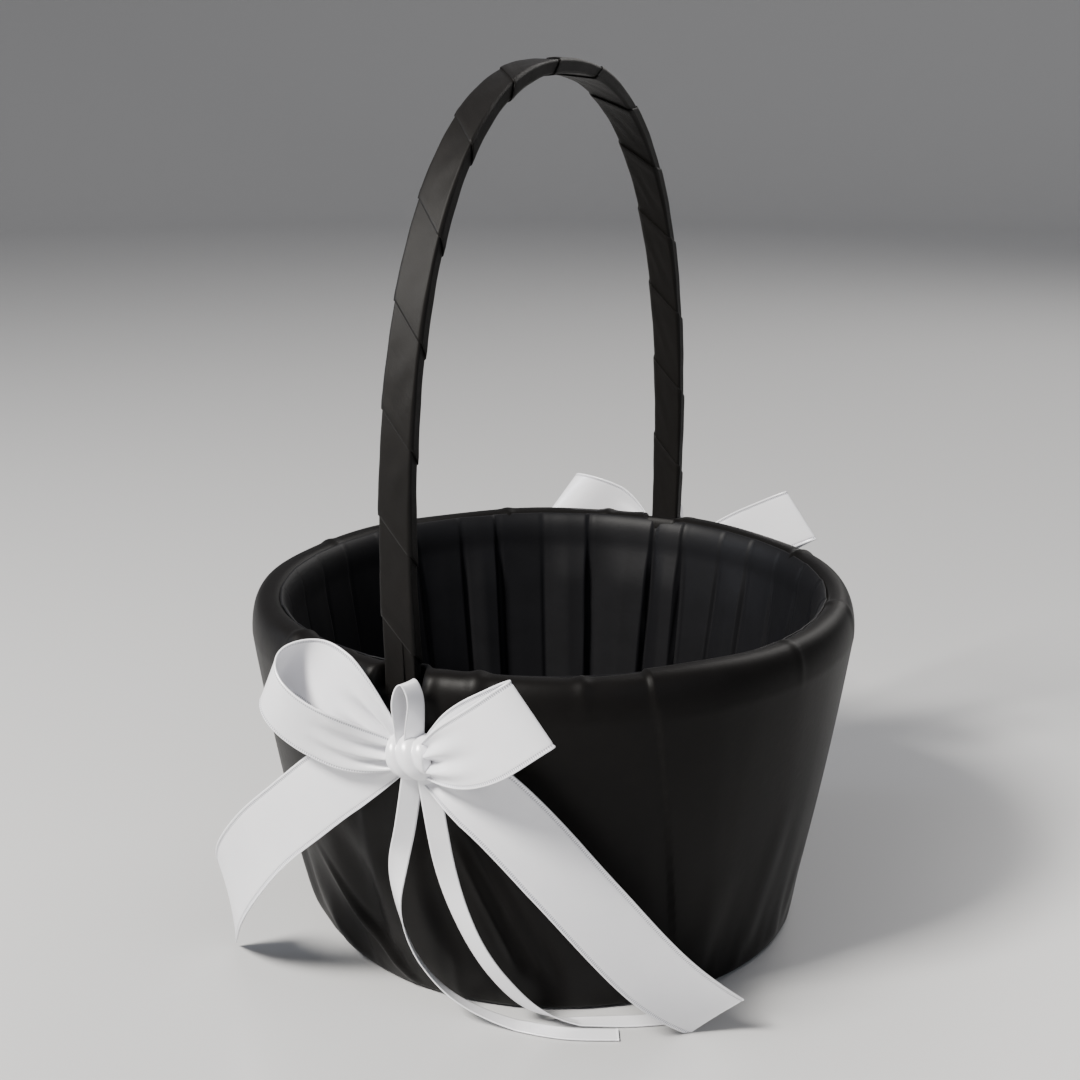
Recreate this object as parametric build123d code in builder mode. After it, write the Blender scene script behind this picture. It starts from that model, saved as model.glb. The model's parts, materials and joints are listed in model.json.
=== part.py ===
"""Flower girl basket: a splint-wood basket under padded black satin, with two white ribbon bows.

Millimetres. +Z is up and the origin is the centre of the base, on the floor. The handle spans
along Y, and the front bow faces -Y.
"""

import os
from math import cos, hypot, pi, radians, sin, sqrt, tan

from build123d import *

os.makedirs("parts", exist_ok=True)

# ---- Driving dimensions ----------------------------------------------------------------------
# The satin cover's outer face in section, as (radius, height) at three heights.
WALL_LOW = (86.0, 9.0)
WALL_MIDDLE = (95.2, 58.0)
WALL_HIGH = (101.6, 100.0)
RIM_HEIGHT = 116.0
RIM_ROLL_START = 104.0
HEM_BOTTOM = 93.5

# Depths of the wall's layers below the cover's outer face.
COVER = 1.0
PADDING = 4.5
HOOP = 7.5
STAVE = 9.5
LINING = 10.3
INNER_HOOP = 11.5
HEM = 12.5

# Heights of the floor's layers.
UNDERSIDE_TOP = 1.2
BOARD_TOP = 4.2
FLOOR_BOARD_TOP = 5.7
FLOOR_LINING_TOP = 6.7

STAVES = 16
STAVE_GAP_DEG = 0.8
PANEL_GAP_DEG = 0.2
STAVE_TOP = 107.0
PADDING_BOTTOM = 10.0
PADDING_TOP = 104.0
LINING_TOP = 92.5
BASE_HOOP = (UNDERSIDE_TOP, 9.5)
MID_HOOP = (48.0, 58.0)
RIM_HOOP = (95.0, 107.0)

# The handle: a bent splint whose centre line is a superellipse over two legs.
HANDLE_TOP = 284.0
HANDLE_SPRING = 145.0
HANDLE_HALF_SPAN = 97.8
HANDLE_POWER = 2.27
HANDLE_WIDTH = 9.7
HANDLE_THICKNESS = 2.6
HANDLE_FOOT = 62.0
WRAP = 0.3
WRAP_BOTTOM = 108.2
ARCH_STEPS = 14
# Outward lean of the legs, per unit of height, where they leave the wall.
LEG_LEAN = 0.03
LEG_SLOT_HALF = 6.0
LEG_SLOT_BOTTOM = 107.0

# Tacks. Those of the handle stop inside the staves and have heads half as thick.
TACK_RADIUS = 0.7
TACK_HEAD_RADIUS = 1.1
TACK_HEAD = 0.6
HANDLE_TACK_HEAD = 0.3
HANDLE_TACK_HEIGHTS = (72.0, 90.0)
HANDLE_TACK_HOLE = 1.6
HANDLE_TACK_DEPTH = 1.4
BASE_TACK_HEIGHT = 2.7
BASE_TACK_DEPTH = 6.0
HEAD_CLEARANCE = 0.35
# Room for a handle tack's head in the wadding.
HEAD_ROOM_RADIUS = 1.8
HEAD_ROOM_DEPTH = 3.8

# Ribbons.
WIDE_RIBBON = 22.0
NARROW_RIBBON = 6.35
RIBBON_THICKNESS = 0.8
NARROW_THICKNESS = 0.5
# A ribbon leaves the knot at a share of its width and is full a share of its width further on.
GATHER = 0.4
GATHER_LENGTH = 0.7
# A loop's side view, as shares of its length and of its fullness.
LOOP_SHAPE = ((0.5, -0.08), (1.0, 0.3), (0.6, 0.75))
KNOT_WIDTH = 13.5
KNOT_HEIGHT = 13.0
KNOT_DEPTH = 14.0
KNOT_ROUNDING = 1.5
ROOT_SINK = 0.5
CORD_TUBE = 3.0
# Share of the shorter of two runs that the arc between them takes.
ARC_SHARE = 0.45
FLOOR_GAP = 0.4


# ---- Geometry helpers ------------------------------------------------------------------------
def wall_circle():
    """Centre (r, z) and radius of the circle through the three guide points of the wall."""
    (x1, y1), (x2, y2), (x3, y3) = WALL_LOW, WALL_MIDDLE, WALL_HIGH
    determinant = 2 * (x1 * (y2 - y3) + x2 * (y3 - y1) + x3 * (y1 - y2))
    s1, s2, s3 = x1**2 + y1**2, x2**2 + y2**2, x3**2 + y3**2
    r = (s1 * (y2 - y3) + s2 * (y3 - y1) + s3 * (y1 - y2)) / determinant
    z = (s1 * (x3 - x2) + s2 * (x1 - x3) + s3 * (x2 - x1)) / determinant
    return r, z, hypot(x1 - r, y1 - z)


WALL_R, WALL_Z, WALL_RADIUS = wall_circle()


def wall(height, depth=0.0):
    """Radius of the wall at a height, at a depth below the cover's outer face."""
    return WALL_R + sqrt((WALL_RADIUS - depth) ** 2 - (height - WALL_Z) ** 2)


def wall_arc(depth, low, high):
    """Three points of the wall's arc at a depth, from one height to another."""
    middle = (low + high) / 2
    return [(wall(z, depth), z) for z in (low, middle, high)]


def radial_plane(azimuth_deg):
    """An upright plane through the Z axis: its x points outwards and its y up."""
    a = radians(azimuth_deg)
    return Plane(origin=(0, 0, 0), x_dir=(cos(a), sin(a), 0), z_dir=(sin(a), -cos(a), 0))


def layer(outer, inner, low, high, plane=Plane.XZ):
    """Section of one layer of the wall, between two depths and two heights."""
    with BuildSketch(plane) as section:
        with BuildLine():
            outside = ThreePointArc(*wall_arc(outer, low, high))
            inside = ThreePointArc(*wall_arc(inner, low, high))
            Line(outside @ 0, inside @ 0)
            Line(outside @ 1, inside @ 1)
        make_face()
    return section.sketch


def disc_section(depth, low, high):
    """Section of a disc whose rim follows the wall at a depth."""
    with BuildSketch(Plane.XZ) as section:
        with BuildLine():
            rim = ThreePointArc(*wall_arc(depth, low, high))
            Polyline(rim @ 1, (0, high), (0, low), rim @ 0)
        make_face()
    return section.sketch


def roll_points(depth, crest):
    """Five points over the rim's roll, half an ellipse between the outer face and the hem."""
    outside = wall(RIM_ROLL_START, depth)
    inside = wall(RIM_ROLL_START, HEM - depth)
    middle, half = (outside + inside) / 2, (outside - inside) / 2
    turns = [radians(45 * k) for k in range(5)]
    return [
        (middle + half * cos(t), RIM_ROLL_START + (crest - RIM_ROLL_START) * sin(t))
        for t in turns
    ]


def tack_plane(azimuth_deg, height, depth):
    """A plane on the wall at a depth, whose z points outwards."""
    a = radians(azimuth_deg)
    outwards = Vector(cos(a), sin(a), 0)
    return Plane(origin=outwards * wall(height, depth) + Vector(0, 0, height), z_dir=outwards)


def tack_face(azimuth_deg, height, outwards=0.0, radius=TACK_RADIUS):
    """A round face for a tack or its hole, some way outside the hoops' inner face."""
    with BuildSketch(tack_plane(azimuth_deg, height, HOOP).offset(outwards)) as face:
        Circle(radius)
    return face.sketch


def save(piece, name):
    """Labels a finished piece and writes its STEP file."""
    piece.part.label = name
    export_step(piece.part, f"parts/{name}.step")


stave_azimuths = [-90 + k * 360 / STAVES for k in range(STAVES)]
stave_angle = 360 / STAVES - STAVE_GAP_DEG
panel_angle = 360 / STAVES - PANEL_GAP_DEG
leg_azimuths = {"front": -90, "back": 90}

# ---- Base ------------------------------------------------------------------------------------
with BuildPart() as underside_cover:
    revolve(disc_section(COVER, 0, UNDERSIDE_TOP), axis=Axis.Z)
save(underside_cover, "underside_cover")

with BuildPart() as base_board:
    revolve(disc_section(STAVE, UNDERSIDE_TOP, BOARD_TOP), axis=Axis.Z)
    for azimuth in stave_azimuths:
        hole = tack_face(azimuth, BASE_TACK_HEIGHT)
        extrude(hole, amount=-BASE_TACK_DEPTH, mode=Mode.SUBTRACT)
save(base_board, "base_board")

with BuildPart() as floor_board:
    revolve(disc_section(STAVE, BOARD_TOP, FLOOR_BOARD_TOP), axis=Axis.Z)
save(floor_board, "floor_board")

with BuildPart() as floor_lining:
    revolve(disc_section(LINING, FLOOR_BOARD_TOP, FLOOR_LINING_TOP), axis=Axis.Z)
save(floor_lining, "floor_lining")

# ---- Splint wall -----------------------------------------------------------------------------
for number, azimuth in enumerate(stave_azimuths, start=1):
    with BuildPart() as stave:
        start_plane = radial_plane(azimuth - stave_angle / 2)
        stave_section = layer(HOOP, STAVE, UNDERSIDE_TOP, STAVE_TOP, start_plane)
        revolve(stave_section, axis=Axis.Z, revolution_arc=stave_angle)
        hole = tack_face(azimuth, BASE_TACK_HEIGHT)
        extrude(hole, amount=BASE_TACK_DEPTH, both=True, mode=Mode.SUBTRACT)
        if azimuth in leg_azimuths.values():
            for height in HANDLE_TACK_HEIGHTS:
                hole = tack_face(azimuth, height)
                extrude(hole, amount=HANDLE_TACK_HOLE, both=True, mode=Mode.SUBTRACT)
    save(stave, f"stave_{number:02d}")

with BuildPart() as base_hoop:
    revolve(layer(PADDING, HOOP, *BASE_HOOP), axis=Axis.Z)
    for azimuth in stave_azimuths:
        hole = tack_face(azimuth, BASE_TACK_HEIGHT)
        extrude(hole, amount=BASE_TACK_DEPTH, both=True, mode=Mode.SUBTRACT)
save(base_hoop, "base_hoop")

with BuildPart() as mid_hoop:
    revolve(layer(PADDING, HOOP, *MID_HOOP), axis=Axis.Z)
save(mid_hoop, "mid_hoop")

for side, sign in {"left": -1, "right": 1}.items():
    with BuildPart() as rim_hoop_outer:
        revolve(layer(PADDING, HOOP, *RIM_HOOP), axis=Axis.Z)
        with BuildSketch(Plane.XY):
            with Locations((-sign * WALL_HIGH[0], 0)):
                Rectangle(2 * (WALL_HIGH[0] + HANDLE_WIDTH / 2), 4 * WALL_HIGH[0])
        extrude(amount=2 * RIM_HEIGHT, mode=Mode.SUBTRACT)
    save(rim_hoop_outer, f"rim_hoop_outer_{side}")

with BuildPart() as rim_hoop_inner:
    revolve(layer(STAVE, INNER_HOOP, *RIM_HOOP), axis=Axis.Z)
save(rim_hoop_inner, "rim_hoop_inner")

tack_reach = wall(BASE_TACK_HEIGHT, PADDING) - wall(BASE_TACK_HEIGHT, HOOP) + HEAD_CLEARANCE
with BuildPart() as base_tacks:
    for azimuth in stave_azimuths:
        shank = tack_face(azimuth, BASE_TACK_HEIGHT, -BASE_TACK_DEPTH)
        extrude(shank, amount=BASE_TACK_DEPTH + tack_reach)
        head = tack_face(azimuth, BASE_TACK_HEIGHT, tack_reach, TACK_HEAD_RADIUS)
        extrude(head, amount=TACK_HEAD)
save(base_tacks, "base_tacks")


# ---- Handle ----------------------------------------------------------------------------------
def arch_point(turn_deg, outwards):
    """A point (y, z) of the handle's arch, some way outside its centre line."""
    rise = HANDLE_TOP - HANDLE_SPRING
    c, s = cos(radians(turn_deg)), sin(radians(turn_deg))
    y = HANDLE_HALF_SPAN * c ** (2 / HANDLE_POWER)
    z = rise * s ** (2 / HANDLE_POWER)
    normal_y = (y / HANDLE_HALF_SPAN) ** (HANDLE_POWER - 1) / HANDLE_HALF_SPAN
    normal_z = (z / rise) ** (HANDLE_POWER - 1) / rise
    size = hypot(normal_y, normal_z)
    return y + outwards * normal_y / size, HANDLE_SPRING + z + outwards * normal_z / size


def handle_side(outwards, foot):
    """Half of one face of the handle, from a leg's foot at +Y up to the apex."""
    depth = HOOP - HANDLE_THICKNESS / 2 - outwards
    turns = [90 * k / ARCH_STEPS for k in range(ARCH_STEPS)]
    arch = [arch_point(turn, outwards) for turn in turns] + [(0, HANDLE_TOP + outwards)]
    leg_top = (wall(STAVE_TOP, depth), STAVE_TOP)
    if foot < STAVE_TOP:
        ThreePointArc(*wall_arc(depth, foot, STAVE_TOP))
        start = leg_top
    else:
        start = (leg_top[0] + (foot - STAVE_TOP) * LEG_LEAN, foot)
    Spline(start, *arch, tangents=[(LEG_LEAN, 1), (-1, 0)])


def handle_section(half_thickness, foot):
    """The handle's side view: a closed strip of even thickness."""
    with BuildSketch(Plane.YZ) as section:
        with BuildLine() as outline:
            handle_side(half_thickness, foot)
            handle_side(-half_thickness, foot)
            low = outline.vertices().sort_by(Axis.Y)[:2]
            Line(low[0].center(), low[1].center())
            mirror(about=Plane.YZ)
        make_face()
    return section.sketch


half_splint = HANDLE_THICKNESS / 2
with BuildPart() as handle_splint:
    extrude(handle_section(half_splint, HANDLE_FOOT), amount=HANDLE_WIDTH / 2, both=True)
    for azimuth in leg_azimuths.values():
        for height in HANDLE_TACK_HEIGHTS:
            hole = tack_face(azimuth, height)
            extrude(hole, amount=HANDLE_THICKNESS * 2, both=True, mode=Mode.SUBTRACT)
save(handle_splint, "handle_splint")

with BuildPart() as handle_wrap:
    wrap_section = handle_section(half_splint + WRAP, WRAP_BOTTOM)
    extrude(wrap_section, amount=HANDLE_WIDTH / 2 + WRAP, both=True)
    add(handle_splint.part, mode=Mode.SUBTRACT)
save(handle_wrap, "handle_wrap")

with BuildPart() as handle_tacks:
    for azimuth in leg_azimuths.values():
        for height in HANDLE_TACK_HEIGHTS:
            shank = tack_face(azimuth, height, -HANDLE_TACK_DEPTH)
            head_at = HANDLE_THICKNESS + HEAD_CLEARANCE
            extrude(shank, amount=HANDLE_TACK_DEPTH + head_at)
            head = tack_face(azimuth, height, head_at, TACK_HEAD_RADIUS)
            extrude(head, amount=HANDLE_TACK_HEAD)
save(handle_tacks, "handle_tacks")

# ---- Padding, cover and lining ---------------------------------------------------------------
# Sixteen upright panels of wadding; the two over the handle's legs have a channel for the leg.
with BuildPart() as wall_padding:
    for azimuth in stave_azimuths:
        start_plane = radial_plane(azimuth - panel_angle / 2)
        panel_section = layer(COVER, PADDING, PADDING_BOTTOM, PADDING_TOP, start_plane)
        revolve(panel_section, axis=Axis.Z, revolution_arc=panel_angle)
    for azimuth in leg_azimuths.values():
        for height in HANDLE_TACK_HEIGHTS:
            room = tack_face(azimuth, height, radius=HEAD_ROOM_RADIUS)
            extrude(room, amount=HEAD_ROOM_DEPTH, mode=Mode.SUBTRACT)
save(wall_padding, "wall_padding")

# The cover runs up the outside, rolls over the hoops and ends in a hem on the inner hoop.
with BuildPart() as outer_cover:
    with BuildSketch(Plane.XZ):
        with BuildLine():
            for depth, crest in ((0, RIM_HEIGHT), (COVER, RIM_HEIGHT - COVER)):
                inner_depth = HEM - depth
                ThreePointArc(*wall_arc(depth, UNDERSIDE_TOP, RIM_ROLL_START))
                Spline(*roll_points(depth, crest), tangents=[(0.1, 1), (-0.1, -1)])
                ThreePointArc(*wall_arc(inner_depth, HEM_BOTTOM, RIM_ROLL_START))
            foot = UNDERSIDE_TOP
            Line((wall(foot, 0), foot), (wall(foot, COVER), foot))
            hem = HEM_BOTTOM
            Line((wall(hem, HEM), hem), (wall(hem, HEM - COVER), hem))
        make_face()
    revolve(axis=Axis.Z)
    with BuildSketch(Plane.XY.offset(LEG_SLOT_BOTTOM)):
        for sign in (-1, 1):
            with Locations((0, sign * (wall(STAVE_TOP, HOOP) + LEG_SLOT_HALF))):
                Rectangle(2 * LEG_SLOT_HALF, 2 * LEG_SLOT_HALF + 1)
    extrude(amount=RIM_HEIGHT, mode=Mode.SUBTRACT)
save(outer_cover, "outer_cover")

with BuildPart() as lining_wall:
    revolve(layer(STAVE, LINING, FLOOR_BOARD_TOP, LINING_TOP), axis=Axis.Z)
save(lining_wall, "lining_wall")


# ---- Bows ------------------------------------------------------------------------------------
def ribbon_plane(start, end, across):
    """A plane for a ribbon's side view: x runs from start to end and z is across the ribbon."""
    along = (Vector(*end) - Vector(*start)).normalized()
    across = Vector(*across)
    return Plane(origin=start, x_dir=along, z_dir=across - along * across.dot(along))


def ribbon_run(start, middle, end, across):
    """Side view of a flat ribbon that bends once, drawn at its real thickness."""
    plane = ribbon_plane(start, end, across)
    points = [plane.to_local_coords(Vector(*p)) for p in (start, middle, end)]
    with BuildSketch(plane) as run:
        with BuildLine() as path:
            Spline(*[(p.X, p.Y) for p in points])
        trace(path.line, line_width=RIBBON_THICKNESS)
    return run.sketch


def ribbon_loop(root, tip, across, fullness, thickness):
    """Side view of a loop: out along the wall, round a nose and back on the outer side."""
    plane = ribbon_plane(root, tip, across)
    if plane.y_dir.dot(Vector(root[0], root[1], 0)) < 0:
        plane = Plane(origin=plane.origin, x_dir=plane.x_dir, z_dir=-plane.z_dir)
    length = (Vector(*tip) - Vector(*root)).length
    bends = [(length * along, fullness * out) for along, out in LOOP_SHAPE]
    with BuildSketch(plane) as loop:
        with BuildLine() as path:
            Spline((0, -thickness), *bends, (0, thickness))
        trace(path.line, line_width=thickness)
    return loop.sketch


def gathered(plane, width):
    """Face-on outline of a ribbon that widens from its gathered root to its full width."""
    root_width = width * GATHER
    taper = width * GATHER_LENGTH
    face = Plane(origin=plane.origin, x_dir=plane.x_dir, z_dir=plane.y_dir)
    reach = 3 * WALL_HIGH[0]
    with BuildSketch(face) as outline:
        with BuildLine():
            Polyline(
                (0, -root_width / 2),
                (taper, -width / 2),
                (reach, -width / 2),
                (reach, width / 2),
                (taper, width / 2),
                (0, root_width / 2),
                close=True,
            )
        make_face()
    return outline.sketch


def cord_path(points):
    """A route of straight runs joined by arcs as large as the runs allow, and its tightest arc."""
    route = [Vector(*p) for p in points]
    radii = []
    for before, corner, after in zip(route, route[1:], route[2:]):
        turn = radians((corner - before).get_angle(after - corner))
        shorter = min((corner - before).length, (after - corner).length)
        radii.append(ARC_SHARE * shorter / tan(turn / 2))
    return route, radii


# Each bow's own layout. "across" is the direction of the ribbon's width.
BOWS = {
    "front": {
        "knot": (8.5, -107.3, 93.0),
        "left_loop": {"tip": (-38, -112, 113), "across": (0.52, -0.33, 0.78), "fullness": 25},
        "right_loop": {"tip": (54, -109, 117), "across": (-0.54, 0, 0.84), "fullness": 14},
        "thin_loop": {"tip": (9.5, -107, 119), "across": (0.95, -0.3, 0), "fullness": 6},
        "left_tail": {
            "run": [(-6, -109, 87), (-62, -111, 42), (-76, -90, 15)],
            "across": (-0.64, -0.06, 0.76),
        },
        "right_tail": {
            "run": [(24, -109, 88), (60, -91, 45), (92, -64, 5)],
            "across": (0.7, 0.35, 0.6),
        },
        "thin_left_tail": [
            (5, -107.5, 84), (2, -106, 71), (-1, -105, 57), (-0.5, -103.5, 43), (4, -101, 29),
            (13, -98, 16), (26, -94, 7), (42, -89, 2.4), (57, -82, 2.0), (67, -76, 2.2),
        ],
        "thin_right_tail": [
            (13, -106.5, 84), (14, -105.5, 71), (14.5, -104, 57), (18, -102, 43), (25, -99, 29),
            (36, -93.5, 16.5), (48, -85, 7), (60, -76, 2.3), (70, -67.5, 2.1), (77, -59, 2.3),
        ],
    },
    "back": {
        "knot": (-1.5, 107.3, 93.0),
        "left_loop": {"tip": (-41, 110, 114), "across": (0.3, 0.1, 0.9), "fullness": 20},
        "right_loop": {"tip": (50, 110, 117), "across": (-0.5, 0.05, 0.86), "fullness": 14},
        "thin_loop": {"tip": (-2.5, 107, 118), "across": (0.95, 0.3, 0), "fullness": 6},
        "left_tail": {
            "run": [(-14, 109, 87), (-37, 104, 45), (-54, 96, 5)],
            "across": (0.75, 0.2, -0.3),
        },
        "right_tail": {
            "run": [(10, 109, 87), (24, 110, 45), (30, 106, 5)],
            "across": (0.8, -0.1, 0.2),
        },
        "thin_left_tail": [
            (-6, 107.5, 84), (-8, 106.5, 71), (-9, 105, 57), (-12, 103.5, 43), (-17, 102, 29),
            (-26, 99, 16), (-38, 94, 7), (-51, 88, 2.4), (-63, 80, 2.1),
        ],
        "thin_right_tail": [
            (2, 107.5, 84), (4, 106.5, 71), (3.5, 105, 57), (6, 103.5, 43), (5, 102, 29),
            (9, 100.5, 16), (14, 98.5, 7.5), (24, 97, 2.5), (36, 93, 2.0),
        ],
    },
}

loop_thickness = {
    "left_loop": RIBBON_THICKNESS,
    "right_loop": RIBBON_THICKNESS,
    "thin_loop": NARROW_THICKNESS,
}
loop_width = {"left_loop": WIDE_RIBBON, "right_loop": WIDE_RIBBON, "thin_loop": NARROW_RIBBON}
loop_root = {
    "left_loop": (-KNOT_WIDTH / 2 + ROOT_SINK, 0, 1),
    "right_loop": (KNOT_WIDTH / 2 - ROOT_SINK, 0, 1),
    "thin_loop": (0, 0, KNOT_HEIGHT / 2 - ROOT_SINK),
}

for side, bow in BOWS.items():
    knot_place = Vector(*bow["knot"])
    with BuildPart() as knot:
        with BuildSketch(Plane(origin=knot_place, x_dir=(0, 1, 0), z_dir=(1, 0, 0))):
            Ellipse(KNOT_DEPTH / 2, KNOT_HEIGHT / 2)
        extrude(amount=KNOT_WIDTH / 2, both=True)
        fillet(knot.edges().filter_by(GeomType.LINE, reverse=True), KNOT_ROUNDING)
        add(outer_cover.part, mode=Mode.SUBTRACT)
    save(knot, f"{side}_bow_knot")

    for name, width in loop_width.items():
        shape = bow[name]
        root = tuple(knot_place + Vector(*loop_root[name]))
        with BuildPart() as loop:
            outline = ribbon_loop(
                root, shape["tip"], shape["across"], shape["fullness"], loop_thickness[name]
            )
            extrude(outline, amount=width / 2, both=True)
            loop_plane = ribbon_plane(root, shape["tip"], shape["across"])
            face = gathered(loop_plane, width)
            extrude(face, amount=KNOT_DEPTH * 3, both=True, mode=Mode.INTERSECT)
            add(knot.part, mode=Mode.SUBTRACT)
        save(loop, f"{side}_bow_{name}")

    for name in ("left_tail", "right_tail"):
        shape = bow[name]
        with BuildPart() as tail:
            extrude(ribbon_run(*shape["run"], shape["across"]), amount=WIDE_RIBBON / 2, both=True)
            tail_plane = ribbon_plane(shape["run"][0], shape["run"][2], shape["across"])
            face = gathered(tail_plane, WIDE_RIBBON)
            extrude(face, amount=KNOT_DEPTH * 3, both=True, mode=Mode.INTERSECT)
            split(bisect_by=Plane.XY.offset(FLOOR_GAP), keep=Keep.TOP)
        save(tail, f"{side}_bow_{name}")

    for name in ("thin_left_tail", "thin_right_tail"):
        route, radii = cord_path(bow[name])
        with BuildPart() as thin_tail:
            with BuildLine() as path:
                FilletPolyline(*route, radius=radii)
            with BuildSketch(Plane(origin=path.line @ 0, z_dir=path.line % 0)):
                Circle(CORD_TUBE / 2)
            sweep()
        tube_length = sum(edge.length for edge in path.edges())
        share = thin_tail.part.volume / (pi * (CORD_TUBE / 2) ** 2 * tube_length)
        print(f"{side} {name}: {tube_length:.1f} mm, tightest arc {min(radii):.1f} mm,")
        print(f"  volume over section times length {share:.3f}")
        save(thin_tail, f"{side}_bow_{name}")
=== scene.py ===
"""Flower girl basket: the looks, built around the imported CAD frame.

Black satin over padded splint, a ribbon-wrapped handle, and two white satin bows. Lengths are in
millimetres until a mesh is made, and then in metres. +Z is up, and the front bow faces -Y.
"""

import json
import math

import bpy
import numpy as np
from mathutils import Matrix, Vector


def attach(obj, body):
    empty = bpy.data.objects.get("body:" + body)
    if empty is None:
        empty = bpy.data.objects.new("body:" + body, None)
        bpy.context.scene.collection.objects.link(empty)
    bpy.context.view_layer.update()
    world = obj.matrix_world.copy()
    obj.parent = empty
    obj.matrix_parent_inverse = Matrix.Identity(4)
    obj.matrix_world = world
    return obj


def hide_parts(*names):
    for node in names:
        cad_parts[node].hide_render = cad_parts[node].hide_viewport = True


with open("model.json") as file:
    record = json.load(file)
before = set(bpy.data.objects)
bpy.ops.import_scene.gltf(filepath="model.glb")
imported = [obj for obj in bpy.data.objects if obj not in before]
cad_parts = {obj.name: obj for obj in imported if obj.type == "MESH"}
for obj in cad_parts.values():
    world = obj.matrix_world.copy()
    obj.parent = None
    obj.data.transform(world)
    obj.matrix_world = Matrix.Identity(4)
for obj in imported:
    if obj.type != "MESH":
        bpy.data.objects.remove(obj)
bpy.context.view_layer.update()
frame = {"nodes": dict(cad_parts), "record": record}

MM = 0.001
BODY = "root"

# ---- Dimensions, in millimetres ---------------------------------------------------------------
# The cover's outer face in section, as (radius, height), and the depths of the layers under it.
WALL_GUIDES = ((86.0, 9.0), (95.2, 58.0), (101.6, 100.0))
PADDING_OUTER = 3.1
PADDING_INNER = 6.0
PANELS = 16
WADDING_HEIGHTS = (10.5, 103.0)
WADDING_POWER = 0.35
WADDING_LUMP = 0.25
WADDING_ROUND = 580.0
WADDING_GIRTH = 200.0
LINING_DEPTH = 12.5
RIM_HEIGHT = 116.0
ROLL_START = 104.0
ROLL_POWERS = (0.8, 0.9)
HEM_END = 106.0
LINING_ON_ROLL = 0.62
FOOT_ROUND = 2.0
FOOT_HEM = 4.5
FOOT_HEIGHT = 18.0
FOOT_PULL = 2.0
FOOT_PULL_SWING = 3.0
FOOT_PULL_TURN = 5
HEM_CLEAR = 0.12
# The notch for a leg: its depth, its half width where it starts and ends to rise, and the heights
# over which it deepens. The tuck beside it has a height, a place and a spread.
LEG_DENT = 6.9
NOTCH_SIDES = (5.6, 8.6)
NOTCH_HEIGHTS = (104.5, 109.5)
TUCK_HEIGHT = 0.9
TUCK_PLACE = 10.5
TUCK_SPREAD = 1.8
# Lengths before the hem's end at which the rim's own folds begin and are full, and a slight wave.
RIM_FOLDS_FROM = 34
RIM_FOLDS_FULL = 14
RIM_WAVE = 0.25
RIM_WAVES = 9
COVER_COLUMNS = 720
LINING_COLUMNS = 900
LINING_CLEAR = 0.75
FLOOR_TOP = 6.7
CLOTH = 0.45

HANDLE_TOP = 284.0
HANDLE_SPRING = 145.0
HANDLE_HALF_SPAN = 97.8
HANDLE_POWER = 2.27
STAVE_TOP = 107.0
LEG_DEPTH = 6.2
LEG_LEAN = 0.03
LEG_AT_RIM = 96.6
LEG_BOTTOM = 95.0
STRIP_HALF_WIDTH = 5.0
STRIP_HALF_THICKNESS = 1.8
STRIP_CORNER = 0.35
WRAP_PITCH = 30.0
WRAP_OVERLAP = 4.0
WRAP_STEP = 0.42
WRAP_CLEAR = 0.26
WRAP_ROUND = 27.0
WRAP_PHASE = 0.14
WRAP_RIDGE = 0.2
WRAP_PULL = 0.07
WRAP_CLOTH = 0.2
UNDER_ROWS, UNDER_COLUMNS = 420, 48

WIDE = 22.0
NARROW = 6.35
RIBBON_CLOTH = 0.34
NARROW_CLOTH = 0.3
FLOOR_CLEAR = 0.35
RIPPLE_LENGTH = 17.0

random = np.random.default_rng(11)


# ---- Small mathematics ------------------------------------------------------------------------
def smoothstep(x, low, high):
    """0 below low, 1 above high, and smooth between them."""
    t = np.clip((np.asarray(x, float) - low) / (high - low), 0, 1)
    return t * t * (3 - 2 * t)


def bell(x, width):
    """A smooth bump of height 1 at 0 that fades out over about two widths."""
    return np.exp(-((np.asarray(x, float) / width) ** 2))


def unit(vectors):
    """The same vectors, each of length 1."""
    return vectors / np.maximum(np.linalg.norm(vectors, axis=-1, keepdims=True), 1e-12)


def angle_from(theta_deg, centre_deg):
    """Signed difference of two azimuths, in degrees, from -180 to 180."""
    return (np.asarray(theta_deg) - centre_deg + 180) % 360 - 180


def smooth_rows(rows, count):
    """A natural cubic spline through rows of numbers, sampled at count even places."""
    rows = np.array(rows, float)
    steps = np.sqrt(np.linalg.norm(np.diff(rows[:, :3], axis=0), axis=1))
    knots = np.concatenate([[0], np.cumsum(steps)])
    last = len(rows) - 1
    matrix, right = np.eye(len(rows)), np.zeros_like(rows)
    for i in range(1, last):
        before, after = steps[i - 1], steps[i]
        matrix[i, i - 1], matrix[i, i], matrix[i, i + 1] = before, 2 * (before + after), after
        right[i] = 6 * ((rows[i + 1] - rows[i]) / after - (rows[i] - rows[i - 1]) / before)
    second = np.linalg.solve(matrix, right)
    at = np.linspace(0, knots[-1], count)
    k = np.clip(np.searchsorted(knots, at, side="right") - 1, 0, last - 1)
    h = steps[k][:, None]
    a, b = (knots[k + 1] - at)[:, None] / h, (at - knots[k])[:, None] / h
    bend = ((a**3 - a) * second[k] + (b**3 - b) * second[k + 1]) * h**2 / 6
    return a * rows[k] + b * rows[k + 1] + bend


def wall_circle():
    """Centre (r, z) and radius of the circle through the wall's three guide points."""
    (x1, y1), (x2, y2), (x3, y3) = WALL_GUIDES
    determinant = 2 * (x1 * (y2 - y3) + x2 * (y3 - y1) + x3 * (y1 - y2))
    s1, s2, s3 = x1**2 + y1**2, x2**2 + y2**2, x3**2 + y3**2
    r = (s1 * (y2 - y3) + s2 * (y3 - y1) + s3 * (y1 - y2)) / determinant
    z = (s1 * (x3 - x2) + s2 * (x1 - x3) + s3 * (x2 - x1)) / determinant
    return r, z, math.hypot(x1 - r, y1 - z)


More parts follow.
